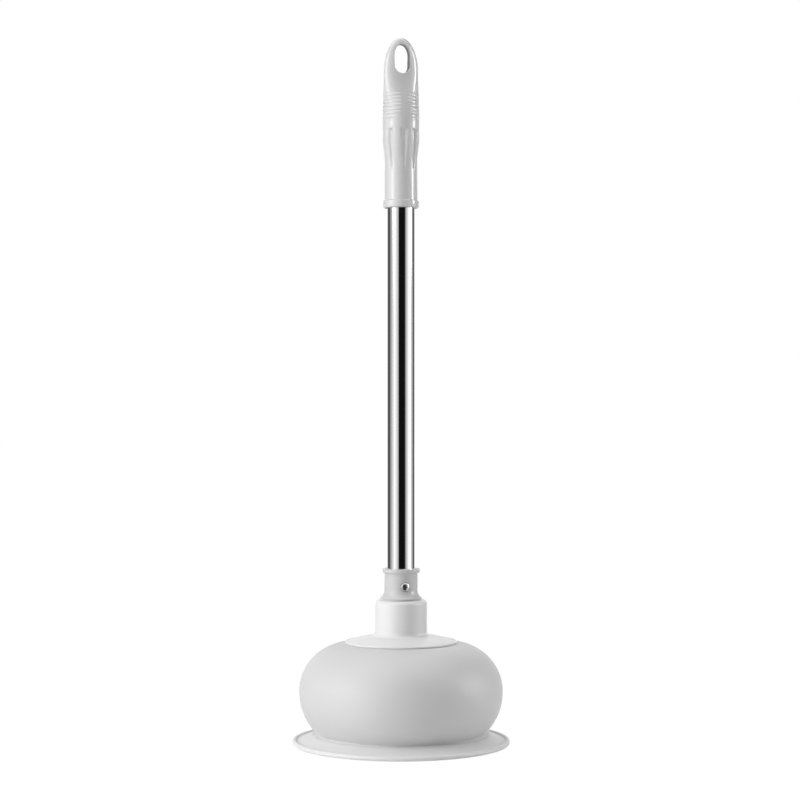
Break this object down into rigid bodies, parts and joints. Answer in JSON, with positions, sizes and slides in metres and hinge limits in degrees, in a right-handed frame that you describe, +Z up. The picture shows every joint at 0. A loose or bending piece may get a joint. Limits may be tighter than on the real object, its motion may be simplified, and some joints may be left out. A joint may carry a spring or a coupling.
{
  "type": "toilet plunger",
  "caption": "Toilet plunger: a soft bulging cup with a wide sealing lip, a white screw neck, a steel tube rod with a pinned collar, and a ribbed grip with a hang hole.",
  "frame": {"origin": "centre of the sealing lip's underside, on the floor under the rod", "axes": "+Z up along the rod, -Y to the front, where the collar's screw and one mouth of the hang hole face"},
  "size_m": [0.1484, 0.1484, 0.4817],
  "materials": {
    "cup_rubber": "soft matte light grey",
    "white_plastic": "gloss white",
    "hidden_plastic": "natural white moulding",
    "gasket_rubber": "matte black",
    "grey_plastic": "satin light grey",
    "screw_steel": "bright plated",
    "tube_steel": "polished stainless steel"
  },
  "bodies": {
    "cup": {"rubber_cup": "cup_rubber"},
    "head": {"neck_cap": "white_plastic", "clamp_plate": "hidden_plastic", "clamp_washer": "screw_steel", "clamp_screw": "screw_steel"},
    "gasket": {"thread_gasket": "gasket_rubber"},
    "rod": {"rod_collar": "grey_plastic", "collar_screw": "screw_steel", "rod_tube": "tube_steel", "tube_plug": "hidden_plastic", "handle_grip": "grey_plastic"}
  },
  "joints": [
    {"name": "plunge", "type": "slide", "parent": "cup", "child": "head", "axis": [0, 0, 1], "range_m": [-0.04, 0], "stiffness_N_per_m": 1500, "springref_m": 0.004, "deforming": ["rubber_cup"]},
    {"name": "rod_lift", "type": "slide", "parent": "head", "child": "gasket", "axis": [0, 0, 1], "range_m": [0, 0.0201]},
    {"name": "rod_turn", "type": "hinge", "parent": "gasket", "child": "rod", "pos_m": [0, 0, 0.0983], "axis": [0, 0, 1], "range_deg": [0, 1440]}
  ],
  "couplings": [
    {"joint": "rod_lift", "follows": "rod_turn", "m_per_rad": 0.00079577}
  ]
}
